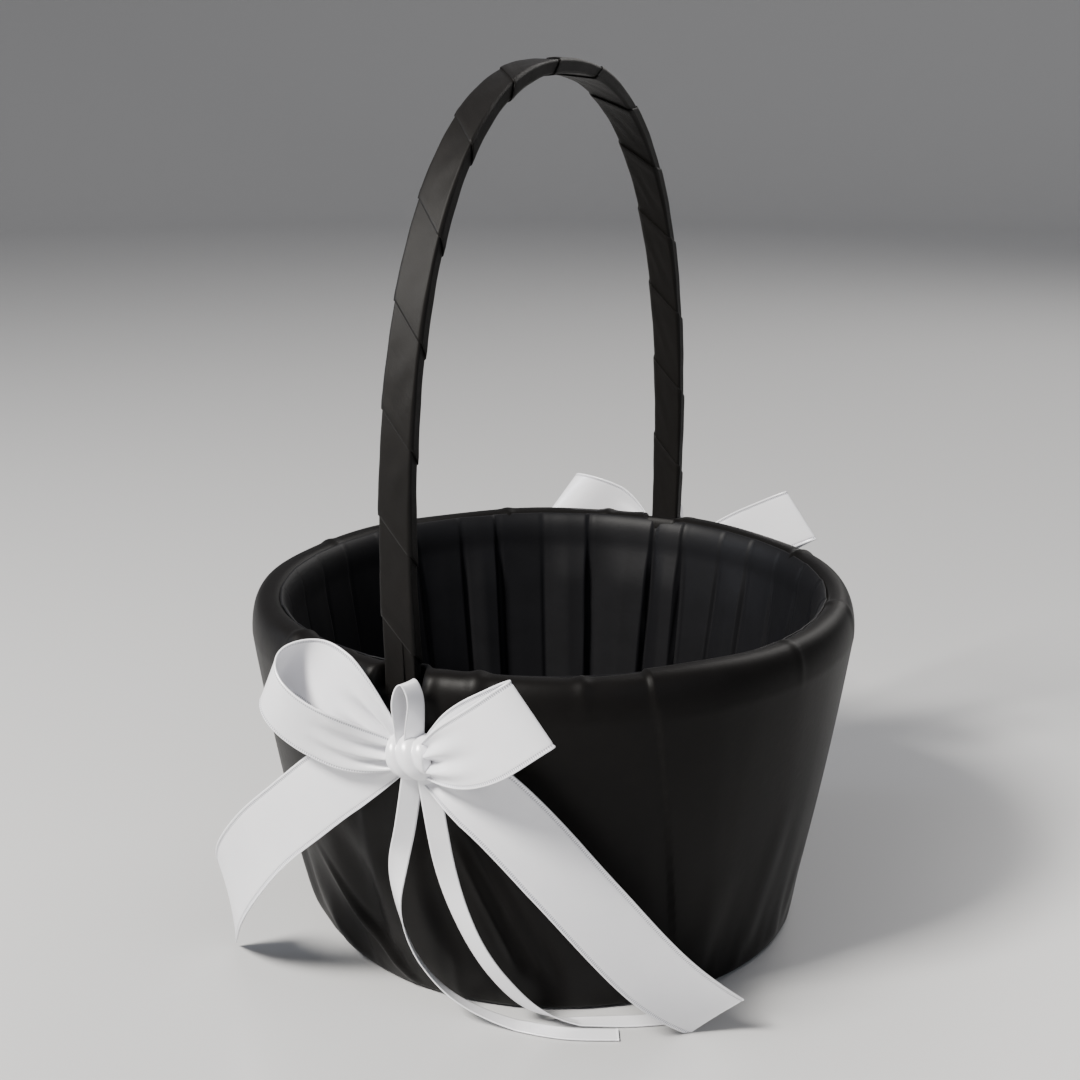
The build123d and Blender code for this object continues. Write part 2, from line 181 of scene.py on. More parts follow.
WALL_R, WALL_Z, WALL_RADIUS = wall_circle()


def wall(height, depth=0.0):
    """Radius of the wall at a height, at a depth below the cover's outer face."""
    return WALL_R + np.sqrt((WALL_RADIUS - depth) ** 2 - (np.asarray(height) - WALL_Z) ** 2)


# ---- Meshes -----------------------------------------------------------------------------------
def grid_piece(name, points, uv, material, wrap_u=False, wrap_v=False, caps=False):
    """A piece from a grid of points in millimetres. uv has a row or column more where it wraps."""
    nu, nv = points.shape[:2]
    i, j = np.meshgrid(np.arange(nu - (not wrap_u)), np.arange(nv - (not wrap_v)), indexing="ij")
    i, j = i.ravel(), j.ravel()
    i2, j2 = (i + 1) % nu, (j + 1) % nv
    quads = np.stack([i * nv + j, i2 * nv + j, i2 * nv + j2, i * nv + j2], axis=1)
    corners = np.stack([uv[i, j], uv[i + 1, j], uv[i + 1, j + 1], uv[i, j + 1]], axis=1)
    faces, face_uv = quads.tolist(), corners.reshape(-1, 2)
    if caps:
        for row, turn in ((0, 1), (nu - 1, -1)):
            rings = [[k, nv - 1 - k, nv - 2 - k, k + 1][::turn] for k in range(nv // 2 - 1)]
            faces += [[row * nv + k for k in ring] for ring in rings]
            face_uv = np.concatenate([face_uv, [uv[row, k] for ring in rings for k in ring]])
    mesh = bpy.data.meshes.new(name)
    mesh.from_pydata((points.reshape(-1, 3) * MM).tolist(), [], faces)
    layer = mesh.uv_layers.new(name="UVMap")
    layer.data.foreach_set("uv", np.asarray(face_uv, np.float32).ravel())
    mesh.polygons.foreach_set("use_smooth", np.ones(len(faces), bool))
    mesh.materials.append(material)
    mesh.update()
    piece = bpy.data.objects.new(name, mesh)
    bpy.context.scene.collection.objects.link(piece)
    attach(piece, BODY)
    return piece


def polar(theta_deg, r, z):
    """Points from grids of azimuth, radius and height."""
    a = np.radians(theta_deg)
    return np.stack([r * np.cos(a), r * np.sin(a), z], axis=2)


def lengths_uv(first, second):
    """UVs in metres from the lengths along a grid's two directions, in millimetres."""
    return np.stack(np.meshgrid(first, second, indexing="ij"), axis=2) * MM


def thicken(piece, thickness, offset=-1.0):
    """Gives a single sheet its cloth's thickness."""
    solid = piece.modifiers.new("cloth", "SOLIDIFY")
    solid.thickness = thickness * MM
    solid.offset = offset
    solid.use_even_offset = True
    return piece


# ---- Materials --------------------------------------------------------------------------------
# Places of the colour sockets on a Mix node, which also has number and vector sockets.
MIX_FIRST, MIX_SECOND, MIX_RESULT = 6, 7, 2
COVER_BLACKS = ((0.0022, 0.0019, 0.0018), (0.0045, 0.0040, 0.0038))
LINING_BLACKS = ((0.0030, 0.0030, 0.0036), (0.0060, 0.0060, 0.0072))
WRAP_BLACKS = ((0.0025, 0.0022, 0.0020), (0.0060, 0.0052, 0.0047))
RIBBON_WHITES = ((0.80, 0.80, 0.84), (0.88, 0.88, 0.90))
# Grey painted into the ladder stitch's holes, as the shade inside them.
LADDER_HOLE_PAINTED_SHADE = (0.42, 0.42, 0.47)
# The ladder stitch: its distance from the middle, its width, and its rungs per metre.
LADDER_PLACE = 10.05
LADDER_WIDTH = 0.85
LADDER_RUNGS = 1400.0
LADDER_DEPTH = 0.12
# Satin's threads per metre, and the scales of its slubs and of its drift in shade.
WARP_PER_METRE = 3600.0
SLUB_SCALE = 420.0
SHADE_SCALE = 90.0
WARP_HEIGHT = 0.02
SLUB_HEIGHT = 0.08


def new_material(name):
    """A material with a Principled shader, its node tree, and the shader."""
    material = bpy.data.materials.new(name)
    material.use_nodes = True
    tree = material.node_tree
    return material, tree, tree.nodes["Principled BSDF"]


def node(tree, kind, inputs=None, **settings):
    """A node with its settings and inputs; an input is a value or another node's socket."""
    made = tree.nodes.new(kind)
    for key, value in settings.items():
        setattr(made, key, value)
    for key, value in (inputs or {}).items():
        if isinstance(value, bpy.types.NodeSocket):
            tree.links.new(value, made.inputs[key])
        else:
            made.inputs[key].default_value = value
    return made


def noise(tree, coordinates, scale, detail=4.0):
    """A soft random value from 0 to 1."""
    inputs = {"Vector": coordinates, "Scale": scale, "Detail": detail}
    return node(tree, "ShaderNodeTexNoise", inputs).outputs["Fac"]


def mix_colours(tree, share, first, second):
    """A blend of two colours; each is a socket or three numbers."""
    both = [c if isinstance(c, bpy.types.NodeSocket) else (*c, 1) for c in (first, second)]
    inputs = {0: share, MIX_FIRST: both[0], MIX_SECOND: both[1]}
    return node(tree, "ShaderNodeMix", inputs, data_type="RGBA").outputs[MIX_RESULT]


def colour_noise(tree, coordinates, scale, dark, light):
    """A colour that drifts between two near shades."""
    return mix_colours(tree, noise(tree, coordinates, scale), dark, light)


def arithmetic(tree, operation, first, second=0.0):
    """The result of one sum, product or comparison of two values or sockets."""
    return node(tree, "ShaderNodeMath", {0: first, 1: second}, operation=operation).outputs[0]


def bump(tree, pattern, height, strength, normal=None):
    """A pattern raised by a height in millimetres, over another normal if one is given."""
    inputs = {"Height": pattern, "Distance": height * MM, "Strength": strength}
    if normal is not None:
        inputs["Normal"] = normal
    return node(tree, "ShaderNodeBump", inputs).outputs["Normal"]


def threads(tree, coordinates, direction, per_metre, distortion):
    """Fine parallel threads, so many to a metre; a wave node has 20 / (2 pi) bands at scale 1."""
    scale = per_metre * 2 * math.pi / 20
    inputs = {"Vector": coordinates, "Scale": scale, "Distortion": distortion}
    return node(tree, "ShaderNodeTexWave", inputs, bands_direction=direction).outputs["Fac"]


def satin(name, dark, light, roughness, specular, sheen, weave):
    """Satin: a smooth face with fine warp threads, soft slubs and a broad sheen."""
    material, tree, shader = new_material(name)
    uv = node(tree, "ShaderNodeTexCoord").outputs["UV"]
    shades = colour_noise(tree, uv, SHADE_SCALE, dark, light)
    tree.links.new(shades, shader.inputs["Base Color"])
    warp = threads(tree, uv, "Y", WARP_PER_METRE, 0.4)
    normal = bump(tree, warp, WARP_HEIGHT, weave)
    normal = bump(tree, noise(tree, uv, SLUB_SCALE, 5.0), SLUB_HEIGHT, weave, normal)
    tree.links.new(normal, shader.inputs["Normal"])
    shader.inputs["Roughness"].default_value = roughness
    shader.inputs["Specular IOR Level"].default_value = specular
    shader.inputs["Sheen Weight"].default_value = sheen
    shader.inputs["Sheen Roughness"].default_value = 0.4
    return material, tree, shader, uv, normal


def ribbon_satin(name, ladder_place):
    """White satin ribbon; where ladder_place is given, it has a ladder stitch inside each edge,
    with painted shade in its holes.
    """
    material, tree, shader, uv, normal = satin(
        name, *RIBBON_WHITES, roughness=0.30, specular=0.9, sheen=0.05, weave=0.3
    )
    shader.inputs["Metallic"].default_value = 0.08
    if ladder_place is None:
        return material
    parts = node(tree, "ShaderNodeSeparateXYZ", {"Vector": uv})
    across = arithmetic(tree, "ABSOLUTE", parts.outputs["Y"])
    from_ladder = arithmetic(tree, "SUBTRACT", across, ladder_place * MM)
    from_ladder = arithmetic(tree, "ABSOLUTE", from_ladder)
    inside = arithmetic(tree, "LESS_THAN", from_ladder, LADDER_WIDTH / 2 * MM)
    gaps = arithmetic(tree, "LESS_THAN", threads(tree, uv, "X", LADDER_RUNGS, 0.0), 0.5)
    holes = arithmetic(tree, "MULTIPLY", gaps, inside)
    # The stitch's holes get painted shade in the colour, and a bump that presses them in.
    base = shader.inputs["Base Color"].links[0].from_socket
    painted_hole_shade = mix_colours(tree, holes, base, LADDER_HOLE_PAINTED_SHADE)
    tree.links.new(painted_hole_shade, shader.inputs["Base Color"])
    cloth = arithmetic(tree, "SUBTRACT", 1.0, holes)
    stitched = bump(tree, cloth, LADDER_DEPTH, 0.9, normal)
    tree.links.new(stitched, shader.inputs["Normal"])
    return material


def wood(name, dark, light):
    """Raw splint: long grain in two shades, and a slightly furry surface."""
    material, tree, shader = new_material(name)
    place = node(tree, "ShaderNodeTexCoord").outputs["Object"]
    stretch = node(tree, "ShaderNodeMapping", {"Vector": place, "Scale": (160.0, 160.0, 9.0)})
    grain = stretch.outputs["Vector"]
    tree.links.new(colour_noise(tree, grain, 1.6, dark, light), shader.inputs["Base Color"])
    fur = bump(tree, noise(tree, grain, 6.0, 6.0), 0.2, 0.5)
    tree.links.new(fur, shader.inputs["Normal"])
    shader.inputs["Roughness"].default_value = 0.72
    return material


def wadding(name):
    """White wadding: matt, with a tangle of soft fibres."""
    material, tree, shader = new_material(name)
    place = node(tree, "ShaderNodeTexCoord").outputs["Object"]
    fluff = colour_noise(tree, place, 320.0, (0.70, 0.70, 0.68), (0.88, 0.88, 0.86))
    tree.links.new(fluff, shader.inputs["Base Color"])
    tangle = bump(tree, noise(tree, place, 900.0, 8.0), 0.8, 0.7)
    tree.links.new(tangle, shader.inputs["Normal"])
    shader.inputs["Roughness"].default_value = 0.95
    return material


def steel(name):
    """Plain tack steel with faint drawing marks."""
    material, tree, shader = new_material(name)
    place = node(tree, "ShaderNodeTexCoord").outputs["Object"]
    shades = colour_noise(tree, place, 700.0, (0.42, 0.42, 0.43), (0.6, 0.6, 0.61))
    tree.links.new(shades, shader.inputs["Base Color"])
    marks = bump(tree, noise(tree, place, 2500.0), 0.03, 0.6)
    tree.links.new(marks, shader.inputs["Normal"])
    shader.inputs["Metallic"].default_value = 1.0
    shader.inputs["Roughness"].default_value = 0.35
    return material


black_cover, *_ = satin(
    "black_satin_cover", *COVER_BLACKS, roughness=0.45, specular=0.10, sheen=0.01, weave=0.5
)
black_lining, *_ = satin(
    "black_satin_lining", *LINING_BLACKS, roughness=0.50, specular=0.15, sheen=0.02, weave=0.4
)
black_wrap, *_ = satin(
    "black_ribbon_wrap", *WRAP_BLACKS, roughness=0.50, specular=0.13, sheen=0.015, weave=0.9
)
wide_white = ribbon_satin("wide_white_ribbon", LADDER_PLACE)
narrow_white = ribbon_satin("narrow_white_ribbon", None)
splint_wood = wood("splint_wood", (0.50, 0.35, 0.19), (0.70, 0.54, 0.34))
board_fibre = wood("fibre_board", (0.33, 0.24, 0.16), (0.46, 0.36, 0.25))
soft_wadding = wadding("white_wadding")
tack_steel = steel("tack_steel")


def finish_cad_nodes():
    """Gives every CAD node that stays its procedural material."""
    by_slot = {
        "wood_splint": splint_wood,
        "fibre_board": board_fibre,
        "steel_tack": tack_steel,
        "padding": soft_wadding,
        "black_satin_cover": black_cover,
        "black_satin_lining": black_lining,
        "black_ribbon_wrap": black_wrap,
        "wide_white_ribbon": wide_white,
        "narrow_white_ribbon": narrow_white,
    }
    slots = {s["node"]: s["material_slot"] for s in frame["record"]["subparts"]}
    for name, piece in frame["nodes"].items():
        piece.data.materials.clear()
        piece.data.materials.append(by_slot[slots[name]])


finish_cad_nodes()


# ---- Camera, lights and floor -----------------------------------------------------------------
CAMERA_AZIMUTH = math.radians(27.06)
CAMERA_ELEVATION = math.radians(17.22)
CAMERA_DISTANCE = 573.3
CAMERA_LENS = 55.88
CAMERA_SENSOR = 36.0
CAMERA_SHIFT = (-0.0125, 0.038)
AIM_HEIGHT = 115.5

# The stage, in metres: a flat floor, and the radius of the sweep round it.
FLOOR_RADIUS = 2.6
SWEEP = 1.3
FLOOR_SIDES = 128
FLOOR_SHADE = (0.50, 0.50, 0.50, 1)
FLOOR_ROUGHNESS = 0.3
SKY_SHADE = (0.90, 0.92, 1.0, 1)
SKY_STRENGTH = 0.24
LIGHT_AIM = (0, 0, 0.1)
# Each light's place and side in metres, power in watts, and colour.
LIGHTS = {
    "key": ((-0.50, -0.95, 1.20), 0.35, 64.0, (1.0, 0.97, 0.92)),
    "side": ((-1.4, -0.45, 0.55), 0.5, 6.0, (0.80, 0.87, 1.0)),
    "fill": ((1.3, -0.6, 0.9), 1.0, 3.0, (0.82, 0.88, 1.0)),
    "back": ((0.3, 1.3, 1.1), 1.0, 16.0, (1.0, 0.97, 0.94)),
}


def make_camera():
    """A camera on the photograph's line of sight, aimed at the axis at rim height."""
    a, e = CAMERA_AZIMUTH, CAMERA_ELEVATION
    back = np.array([math.sin(a) * math.cos(e), -math.cos(a) * math.cos(e), math.sin(e)])
    data = bpy.data.cameras.new("camera")
    data.lens = CAMERA_LENS
    data.sensor_width = CAMERA_SENSOR
    data.shift_x, data.shift_y = CAMERA_SHIFT
    camera = bpy.data.objects.new("camera", data)
    camera.location = (back * CAMERA_DISTANCE + [0, 0, AIM_HEIGHT]) * MM
    camera.rotation_euler = (math.pi / 2 - e, 0, a)
    bpy.context.scene.collection.objects.link(camera)
    bpy.context.scene.camera = camera


def area_light(name, place, size, power, colour):
    """A soft square light that faces the basket."""
    data = bpy.data.lights.new(name, "AREA")
    data.shape = "SQUARE"
    data.size, data.energy, data.color = size, power, colour
    light = bpy.data.objects.new(name, data)
    light.location = place
    direction = Vector(LIGHT_AIM) - Vector(place)
    light.rotation_euler = direction.to_track_quat("-Z", "Y").to_euler()
    bpy.context.scene.collection.objects.link(light)


def make_backdrop():
    """A pale floor that curves up all round into a low backdrop."""
    turn = np.radians(np.linspace(0, 90, 24))
    radius = np.concatenate([[0.01, 1.0], FLOOR_RADIUS + SWEEP * np.sin(turn)])
    height = np.concatenate([[0.0, 0.0], SWEEP * (1 - np.cos(turn))])
    around = np.arange(FLOOR_SIDES) * 2 * math.pi / FLOOR_SIDES
    x, y = np.outer(radius, np.cos(around)), np.outer(radius, np.sin(around))
    z = np.repeat(height[:, None], FLOOR_SIDES, axis=1)
    i, j = np.meshgrid(np.arange(len(radius) - 1), np.arange(FLOOR_SIDES), indexing="ij")
    inner, beside = i * FLOOR_SIDES + j, i * FLOOR_SIDES + (j + 1) % FLOOR_SIDES
    quads = np.stack([inner, inner + FLOOR_SIDES, beside + FLOOR_SIDES, beside], axis=2)
    faces = quads.reshape(-1, 4).tolist() + [list(range(FLOOR_SIDES))]
    mesh = bpy.data.meshes.new("floor")
    mesh.from_pydata(np.stack([x, y, z], axis=2).reshape(-1, 3).tolist(), [], faces)
    mesh.polygons.foreach_set("use_smooth", [True] * len(faces))
    material, _, shader = new_material("pale_floor")
    shader.inputs["Base Color"].default_value = FLOOR_SHADE
    shader.inputs["Roughness"].default_value = FLOOR_ROUGHNESS
    mesh.materials.append(material)
    floor = bpy.data.objects.new("floor", mesh)
    bpy.context.scene.collection.objects.link(floor)


def make_lights():
    """A soft world, a warm key from the upper left, cool side lights, and one from behind."""
    world = bpy.data.worlds.new("soft_world")
    world.use_nodes = True
    background = world.node_tree.nodes["Background"]
    background.inputs["Color"].default_value = SKY_SHADE
    background.inputs["Strength"].default_value = SKY_STRENGTH
    bpy.context.scene.world = world
    for name, settings in LIGHTS.items():
        area_light(name, *settings)


make_camera()
make_backdrop()
make_lights()


# ---- Cover, lining, wadding and floor ---------------------------------------------------------
# How unevenly gathers are placed, in shares of their spacing, their lean in degrees, and the least
# shares of their full width and height.
GATHER_WANDER = 0.35
GATHER_LEAN = 6
GATHER_LEAST_WIDTH = 0.45
GATHER_LEAST_HEIGHT = 0.4


def random_gathers(count, widest, highest):
    """Soft upright gathers at uneven places: azimuth, lean, width and height of each."""
    spacing = 360 / count
    return [
        (
            k * spacing + random.uniform(-GATHER_WANDER, GATHER_WANDER) * spacing,
            random.uniform(-GATHER_LEAN, GATHER_LEAN),
            random.uniform(GATHER_LEAST_WIDTH, 1) * widest,
            random.uniform(GATHER_LEAST_HEIGHT, 1) * highest,
        )
        for k in range(count)
    ]


cover_gathers = random_gathers(30, 3.4, 0.35)
foot_gathers = random_gathers(44, 2.4, 0.55)

# Folds of the drape: azimuth and height of each one's top and bottom, width in degrees, height.
DRAPED_FOLDS = (
    ((-122, 46), (-96, 4), 1.5, 1.5),
    ((-110, 64), (-99, 10), 4.6, -2.2),
    ((-99, 92), (-99, 10), 2.6, 0.8),
    ((-128, 40), (-112, 2), 4.5, 1.5),
    ((-140, 56), (-128, 6), 3.4, 1.0),
    ((-81, 76), (-64, 14), 1.2, 0.75),
    ((-83, 70), (-70, 16), 1.1, 0.5),
    ((-66, 44), (-62, 2), 2.4, -1.1),
    ((-90, 52), (-86, 6), 3.6, 0.6),
    ((-28, 50), (-33, 6), 3.6, 0.6),
    ((-12, 62), (-17, 8), 3.0, 0.5),
    ((6, 44), (2, 6), 3.0, 0.6),
    ((30, 74), (22, 8), 3.4, 0.8),
    ((74, 74), (96, 8), 3.4, 0.9),
    ((100, 80), (118, 8), 3.2, 1.0),
    ((150, 60), (166, 8), 3.4, 0.8),
    ((-170, 70), (-160, 8), 3.4, 0.8),
)
# Small folds over the rim: azimuth, width in degrees and height.
RIM_FOLDS = (
    (-117, 1.5, 0.9),
    (-104, 1.3, 0.6),
    (-76, 1.6, 0.9),
    (-58, 1.2, 0.5),
    (-15, 0.8, 0.4),
    (12, 1.4, 0.5),
    (48, 1.3, 0.6),
    (104, 1.5, 0.8),
    (128, 1.2, 0.5),
    (176, 1.4, 0.6),
)
SEAM_TOP = (-46.9, 116.0)
SEAM_BOTTOM = (-37.0, 8.0)
SEAM_STEP = 0.95
# Half the width of the seam's edge, and where the step fades out beside it, in degrees.
SEAM_EDGE = 0.22
SEAM_FADE = (6, 26)
SEAM_RIM_FADE = (8, 45)
SEAM_FOOT = (4, 30)
# Heights between which the cover's gathers fade, and the share of them that is left above.
GATHER_FADE = (18, 75)
GATHER_LEFT = 0.35
# Height and spread of the foot's gathers.
FOOT_GATHER_AT = 2
FOOT_GATHER_SPREAD = 16
# A draped fold fades over these heights at its bottom and top, and has a hollow on one side.
FOLD_BOTTOM_FADE = (-6, 8)
FOLD_TOP_FADE = 26
HOLLOW_SHARE = 0.35
HOLLOW_PLACE = 1.6
HOLLOW_WIDTH = 0.8


def along_line(height, top, bottom):
    """Azimuth of a slanting line at a height."""
    return top[0] + (top[1] - height) / (top[1] - bottom[1]) * (bottom[0] - top[0])


def cover_relief(theta, z):
    """How far the satin stands off its plain surface, outwards."""
    relief = np.zeros(np.broadcast(theta, z).shape)
    low = 1 - smoothstep(z, *GATHER_FADE)
    left = GATHER_LEFT + (1 - GATHER_LEFT) * low
    for azimuth, lean, width, height in cover_gathers:
        centre = azimuth + lean * (z / RIM_HEIGHT - 0.5)
        relief += height * bell(angle_from(theta, centre), width) * left
    for azimuth, lean, width, height in foot_gathers:
        centre = azimuth + lean * z / RIM_HEIGHT
        near_foot = bell(z - FOOT_GATHER_AT, FOOT_GATHER_SPREAD)
        relief += height * bell(angle_from(theta, centre), width) * near_foot
    for top, bottom, width, height in DRAPED_FOLDS:
        away = angle_from(theta, along_line(z, top, bottom))
        fade = smoothstep(z, *(bottom[1] + step for step in FOLD_BOTTOM_FADE))
        fade = fade * (1 - smoothstep(z, top[1] - FOLD_TOP_FADE, top[1]))
        hollow = bell(away - HOLLOW_PLACE * width, HOLLOW_WIDTH * width)
        ridge = bell(away, width) - HOLLOW_SHARE * hollow
        relief += height * ridge * fade
    away = angle_from(theta, along_line(z, SEAM_TOP, SEAM_BOTTOM))
    edge = smoothstep(away, -SEAM_EDGE, SEAM_EDGE) * (1 - smoothstep(away, *SEAM_FADE))
    relief += SEAM_STEP * edge * smoothstep(z, *SEAM_FOOT)
    return relief


def over_roll(turn):
    """Radius and height of the rim's roll; turn runs from 0 outside over the crest to pi inside."""
    outside, inside = wall(ROLL_START), wall(ROLL_START, LINING_DEPTH)
    middle, half = (outside + inside) / 2, (outside - inside) / 2
    r = middle + half * np.sign(np.cos(turn)) * np.abs(np.cos(turn)) ** ROLL_POWERS[0]
    return r, ROLL_START + (RIM_HEIGHT - ROLL_START) * np.sin(turn) ** ROLL_POWERS[1]


def cover_section():
    """Section of the cover: under the foot, up the wall, over the rim's roll, down to the hem."""
    turn = np.linspace(0, math.pi / 2, 12)
    foot_z = HEM_CLEAR + FOOT_ROUND * (1 - np.cos(turn))
    foot_r = wall(foot_z) - FOOT_ROUND * (1 - np.sin(turn))
    up_z = np.linspace(foot_z[-1], ROLL_START, 90)[1:]
    over_r, over_z = over_roll(np.linspace(0, math.pi, 52)[1:-1])
    keep = (over_r > over_r.mean()) | (over_z > HEM_END)
    r = np.concatenate([[foot_r[0] - FOOT_HEM], foot_r, wall(up_z), over_r[keep]])
    z = np.concatenate([[HEM_CLEAR], foot_z, up_z, over_z[keep]])
    return r, z


def foot_pull(theta, z):
    """How far the foot is drawn in under the wall: most at the back left, least at the right."""
    pull = FOOT_PULL - FOOT_PULL_SWING * np.cos(np.radians(theta + FOOT_PULL_TURN))
    return pull * np.clip(1 - z / FOOT_HEIGHT, 0, 1) ** 2


def leg_dent(theta, r, z):
    """How far the roll's outer side is pressed in where a leg passes, with a tuck on each side."""
    outside, inside = wall(ROLL_START), wall(ROLL_START, LINING_DEPTH)
    outer_share = np.where(z > ROLL_START, np.clip((r - inside) / (outside - inside), 0, 1), 1)
    dent = np.zeros(theta.shape)
    for leg in (-90, 90):
        aside = np.abs(angle_from(theta, leg)) * math.radians(1) * LEG_AT_RIM
        press = LEG_DENT * (1 - smoothstep(aside, *NOTCH_SIDES))
        tuck = TUCK_HEIGHT * bell(aside - TUCK_PLACE, TUCK_SPREAD)
        dent += (press - tuck) * smoothstep(z, *NOTCH_HEIGHTS)
    return dent * outer_share


def make_cover():
    """The outer satin, from under the foot to the hem behind the lining's top edge."""
    columns = COVER_COLUMNS
    r, z = cover_section()
    theta = -90 + np.arange(columns) * 360 / columns
    grid_theta, grid_z = np.meshgrid(theta, z, indexing="ij")
    along = np.concatenate([[0], np.cumsum(np.hypot(np.diff(r), np.diff(z)))])
    slope_r, slope_z = np.gradient(r), np.gradient(z)
    size = np.hypot(slope_r, slope_z)
    out_r, out_z = slope_z / size, -slope_r / size
    relief = cover_relief(grid_theta, grid_z) * smoothstep(grid_z, HEM_CLEAR, 5.0)
    top = smoothstep(along, along[-1] - RIM_FOLDS_FROM, along[-1] - RIM_FOLDS_FULL)
    folds = RIM_WAVE * np.sin(np.radians(grid_theta) * RIM_WAVES + 1.3)
    for azimuth, width, height in RIM_FOLDS:
        folds += height * bell(angle_from(grid_theta, azimuth), width)
    lap = angle_from(grid_theta, SEAM_TOP[0])
    edge = smoothstep(lap, -SEAM_EDGE, SEAM_EDGE) * (1 - smoothstep(lap, *SEAM_RIM_FADE))
    folds += SEAM_STEP * edge
    relief = relief * (1 - top) + folds * top
    grid_r = r + relief * out_r - foot_pull(grid_theta, grid_z)
    grid_r = grid_r - leg_dent(grid_theta, np.broadcast_to(r, grid_r.shape), grid_z)
    grid_z = np.maximum(grid_z + relief * out_z, HEM_CLEAR)
    around = np.arange(columns + 1) / columns * 2 * math.pi * WALL_GUIDES[1][0]
    points, uv = polar(grid_theta, grid_r, grid_z), lengths_uv(around, along)
    piece = grid_piece("satin_cover", points, uv, black_cover, wrap_u=True)
    thicken(piece, CLOTH)
    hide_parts("outer_cover")


# Azimuths at which the lining's pleats start, round from the right side.
PLEAT_STARTS = (
    *(4, 17, 30, 42, 52, 63, 73, 83, 92.5, 108, 120, 132, 141, 153, 164),
    *(176, 187, 198, 212, 224, 236, 251, 262, 275, 287, 299, 312, 324, 335, 347, 356),
)
DEEP_PLEATS = (83, 92.5, 108, 132)
DEEP_PLEAT = 3.0
SHALLOW_PLEAT = (0.5, 1.5)
# A pleat's steep side and lean in degrees, where it falls away in shares of its width, and the gap
# behind its edge.
PLEAT_STEEP = (-0.45, 0.3)
PLEAT_FALL = (0.35, 1.0)
PLEAT_LEAN = 1.6
GAP_DEPTH = 0.8
GAP_PLACE = 0.9
GAP_WIDTH = 0.55
# Heights over which pleats flatten towards the rim, and by what share.
PLEAT_FADE = (88, 110)
PLEAT_FLATTENED = 0.75
pleat_depths = [
    DEEP_PLEAT if start in DEEP_PLEATS else random.uniform(*SHALLOW_PLEAT)
    for start in PLEAT_STARTS
]


def pleat_relief(theta, height):
    """How far the lining stands in from its plain surface: pleats with one steep side."""
    relief = np.zeros(theta.shape)
    for k, (start, depth) in enumerate(zip(PLEAT_STARTS, pleat_depths, strict=True)):
        width = angle_from(PLEAT_STARTS[(k + 1) % len(PLEAT_STARTS)], start)
        lean = PLEAT_LEAN * math.sin(start) * (height / RIM_HEIGHT - 0.5)
        away = angle_from(theta, start + lean)
        rise = smoothstep(away, *PLEAT_STEEP)
        fall = 1 - smoothstep(away, *(share * width for share in PLEAT_FALL))
        gap = GAP_DEPTH * depth * bell(away + GAP_PLACE, GAP_WIDTH)
        relief += depth * rise * fall - gap
    return relief


def make_lining():
    """The pleated lining wall, from just inside the rim's crest down to the floor."""
    columns = LINING_COLUMNS
    roll_r, roll_z = over_roll(np.linspace(LINING_ON_ROLL * math.pi, 0.97 * math.pi, 16))
    down_z = np.linspace(roll_z[-1], FLOOR_TOP - 0.5, 56)[1:]
    r = np.concatenate([roll_r, wall(down_z, LINING_DEPTH)]) - LINING_CLEAR
    z = np.concatenate([roll_z, down_z])
    grid_theta, grid_z = np.meshgrid(-90 + np.arange(columns) * 360 / columns, z, indexing="ij")
    fade = 1 - PLEAT_FLATTENED * smoothstep(grid_z, *PLEAT_FADE)
    grid_r = r - np.maximum(pleat_relief(grid_theta, grid_z), -0.4) * fade
    middle_r = wall(WALL_GUIDES[1][1], LINING_DEPTH)
    around = np.arange(columns + 1) / columns * 2 * math.pi * middle_r
    along = np.concatenate([[0], np.cumsum(np.hypot(np.diff(r), np.diff(z)))])
    points, uv = polar(grid_theta, grid_r, grid_z), lengths_uv(around, along)
    piece = grid_piece("satin_lining", points, uv, black_lining, wrap_u=True)
    thicken(piece, CLOTH)
    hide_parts("lining_wall")


def disc_piece(name, radius, height, relief, material, facing):
    """A round piece of cloth as a polar grid; radius and relief are functions of the azimuth."""
    columns, rows = 240, 40
    share = np.linspace(0.004, 1, rows)
    theta = np.arange(columns) * 360 / columns * facing
    grid_theta, grid_share = np.meshgrid(theta, share, indexing="ij")
    z = height + relief(grid_theta, grid_share)
    points = polar(grid_theta, radius(grid_theta) * grid_share, z)
    uv = np.concatenate([points[..., :2], points[:1, :, :2]]) * MM
    return grid_piece(name, points, uv, material, wrap_u=True)


def make_floor():
    """The lining's floor, with puckers where it meets the wall, and the cloth under the foot."""
    def puckers(theta, share):
        waves = np.sin(np.radians(theta) * 26 + 0.8 * np.sin(np.radians(theta) * 5))
        return 0.5 * waves * smoothstep(share, 0.8, 1.0) + 0.25 * np.cos(share * 9)

    def drawn(theta, share):
        waves = 0.5 + 0.5 * np.sin(np.radians(theta) * 40 + 2 * np.sin(np.radians(theta) * 7))
        return 0.12 * waves * smoothstep(share, 0.15, 0.5)

    def floor_radius(theta):
        return np.full(theta.shape, wall(FLOOR_TOP, LINING_DEPTH) + 0.8)

    def underside_radius(theta):
        hem = wall(HEM_CLEAR) - FOOT_ROUND - FOOT_HEM
        return hem - 0.2 - foot_pull(theta, HEM_CLEAR)

    top = disc_piece(
        "satin_floor", floor_radius, FLOOR_TOP, puckers,
        black_lining, -1,
    )
    thicken(top, CLOTH)
    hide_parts("floor_lining")
    under = disc_piece(
        "satin_underside", underside_radius, HEM_CLEAR, drawn,
        black_cover, 1,
    )
    thicken(under, CLOTH)
    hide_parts("underside_cover")


